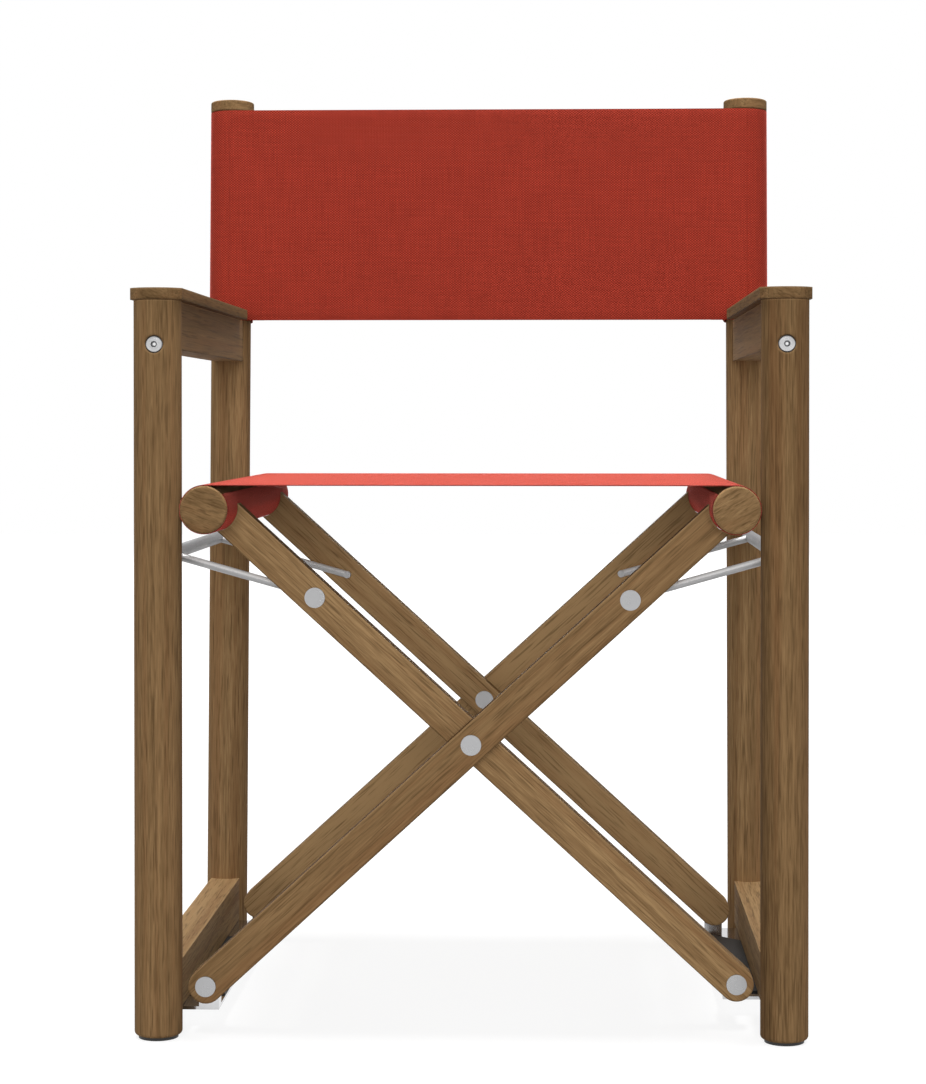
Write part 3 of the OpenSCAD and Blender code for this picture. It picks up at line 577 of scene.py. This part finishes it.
def sleeve_path(side):
    """Round a post from its front, by its outer side and back, and in behind the panel to the seam."""
    seam = (SLEEVE_SEAM, -SLEEVE_R + 1.1 * CLOTH_THICKNESS)
    reach = math.hypot(*seam)
    leave = math.degrees(math.atan2(seam[1], seam[0]) + math.acos(SLEEVE_R / reach))
    path = [(SLEEVE_LAP, -SLEEVE_R)] + arc_points((0.0, 0.0), SLEEVE_R, 270, leave, 60)
    path += line_points(path[-1], seam, 10)
    path += line_points(seam, (seam[0] + SLEEVE_TURN_IN, seam[1]), 4)
    if side == "right":
        path = [(-x, y) for x, y in path]
    shift = -LEG_X if side == "left" else LEG_X
    return [(x + shift, y) for x, y in path]


def make_back_sling(materials):
    """The back: a panel ahead of the posts and a sleeve round each post."""
    runs = even_steps(BACK_LOW, BACK_LOW + BACK_HEIGHT, 24)
    # The right end laps over its sleeve, clear of the post cap, which dips as the chair folds
    def lap(across):
        return PANEL_LAP * max(0.0, 1.0 - (LEG_X - across) / PANEL_LAP_WIDTH) ** 2

    front = [(x, -SLEEVE_R - lap(x)) for x in even_steps(-LEG_X, LEG_X, 96)]
    panel, width = sling_cloth_strip("back_sling_panel", front, runs, on_the_posts, materials)
    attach(panel, "left_frame")
    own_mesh(panel)
    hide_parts("back_sling")
    for side in ("left", "right"):
        sleeve, length = sling_cloth_strip(
            f"back_sling_{side}_sleeve", sleeve_path(side), runs, on_the_posts, materials,
            0.0 if side == "left" else width, -1 if side == "left" else 1)
        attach(sleeve, f"{side}_frame")
        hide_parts("back_sling")


def make_slings():
    """Both slings, with a darker red on their cut edges as painted shade."""
    cloth = sling_cloth("sling_fabric", srgb(84, 25, 19), srgb(218, 78, 58), 0.4)
    # The cut edges are painted darker as shade
    edge = sling_cloth("sling_cut_edge_shade", srgb(60, 16, 14), srgb(96, 24, 20), 0.3)
    make_seat_sling([cloth, edge])
    make_back_sling([cloth, edge])


# Stage


def seen_or_mirrored(w):
    """1 for what is seen straight, in a reflection or through glass, and 0 for the light it sheds."""
    ray = w.add("ShaderNodeLightPath").outputs
    return w.math("MAXIMUM", w.math("MAXIMUM", ray["Is Camera Ray"], ray["Is Glossy Ray"]),
                  ray["Is Transmission Ray"])


def make_floor():
    """A pale floor that fades to white away from the chair and keeps its shadow."""
    size = 9.0
    mesh = bpy.data.meshes.new("studio_floor")
    corners = [(-size, -size, 0), (size, -size, 0), (size, size, 0), (-size, size, 0)]
    mesh.from_pydata(corners, [], [(0, 1, 2, 3)])
    floor = bpy.data.objects.new("studio_floor", mesh)
    bpy.context.scene.collection.objects.link(floor)
    material = bpy.data.materials.new("studio_floor")
    material.use_nodes = True
    material.node_tree.nodes.clear()
    w = Wiring(material.node_tree)
    shown = seen_or_mirrored(w)
    grey = w.add("ShaderNodeBsdfDiffuse", {"Color": (0.20, 0.20, 0.20, 1.0)})
    away = w.vector("LENGTH", w.add("ShaderNodeTexCoord").outputs["Object"])
    whiteness = w.between(away, 0.5, 2.4, 0.87, 1.0)
    lift = w.add("ShaderNodeEmission", {"Color": (1.0, 1.0, 1.0, 1.0),
                                        "Strength": w.math("MULTIPLY", shown, whiteness)})
    both = w.add("ShaderNodeAddShader", {0: grey.outputs[0], 1: lift.outputs[0]})
    w.add("ShaderNodeOutputMaterial", {"Surface": both.outputs[0]})
    mesh.materials.append(material)


def make_surroundings():
    """A white background that lights the chair softly, more from above."""
    world = bpy.data.worlds.new("studio")
    bpy.context.scene.world = world
    world.use_nodes = True
    world.node_tree.nodes.clear()
    w = Wiring(world.node_tree)
    shown = seen_or_mirrored(w)
    direction = w.add("ShaderNodeTexCoord").outputs["Generated"]
    upward = w.add("ShaderNodeSeparateXYZ", {0: direction}).outputs[2]
    soft = w.add("ShaderNodeBackground", {"Color": (1.0, 1.0, 1.0, 1.0),
                                          "Strength": w.between(upward, -0.3, 0.5, 0.08, 0.24)})
    white = w.add("ShaderNodeBackground", {"Color": (1.0, 1.0, 1.0, 1.0), "Strength": 1.0})
    both = w.add("ShaderNodeMixShader", {0: shown, 1: soft.outputs[0], 2: white.outputs[0]})
    w.add("ShaderNodeOutputWorld", {"Surface": both.outputs[0]})


def add_softbox(name, at, towards, width, power, mirrored=True):
    """A square lamp, which polished metal mirrors or not."""
    light = bpy.data.lights.new(name, "AREA")
    light.shape, light.size, light.energy = "SQUARE", width, power
    lamp = bpy.data.objects.new(name, light)
    bpy.context.scene.collection.objects.link(lamp)
    lamp.visible_glossy = mirrored
    lamp.location = at
    lamp.rotation_euler = (Vector(towards) - Vector(at)).to_track_quat("-Z", "Y").to_euler()


def make_lights():
    """Two lamps above, one far in front and a fill from behind."""
    add_softbox("left_top_softbox", (-0.7, 0.0, 5.0), (0.0, 0.0, 0.4), 1.2, 184)
    add_softbox("right_top_softbox", (0.7, 0.0, 5.0), (0.0, 0.0, 0.4), 1.2, 184)
    add_softbox("front_softbox", (0.0, -7.0, 1.1), CHAIR_MIDDLE, 2.4, 254, False)
    add_softbox("rear_softbox", (0.0, 7.0, 2.2), CHAIR_MIDDLE, 2.4, 170, False)


def make_camera():
    """The photograph's view, fitted to the chair's straight edges."""
    view = bpy.data.cameras.new("photo_camera")
    view.sensor_width, view.lens = 36.0, 83.03
    view.shift_x, view.shift_y = -0.0209, -0.0886
    view.clip_start, view.clip_end = 0.05, 60.0
    camera = bpy.data.objects.new("photo_camera", view)
    bpy.context.scene.collection.objects.link(camera)
    camera.location = (0.08265, -2.1335 - ORIGIN_Y, 0.5311)
    camera.rotation_euler = (math.radians(90 - 0.628), 0.0, math.radians(1.863))
    bpy.context.scene.camera = camera


make_camera()
make_floor()
make_surroundings()
make_lights()
dress_timber()
dress_fittings()
make_slings()
bpy.context.scene.view_settings.view_transform = "Standard"
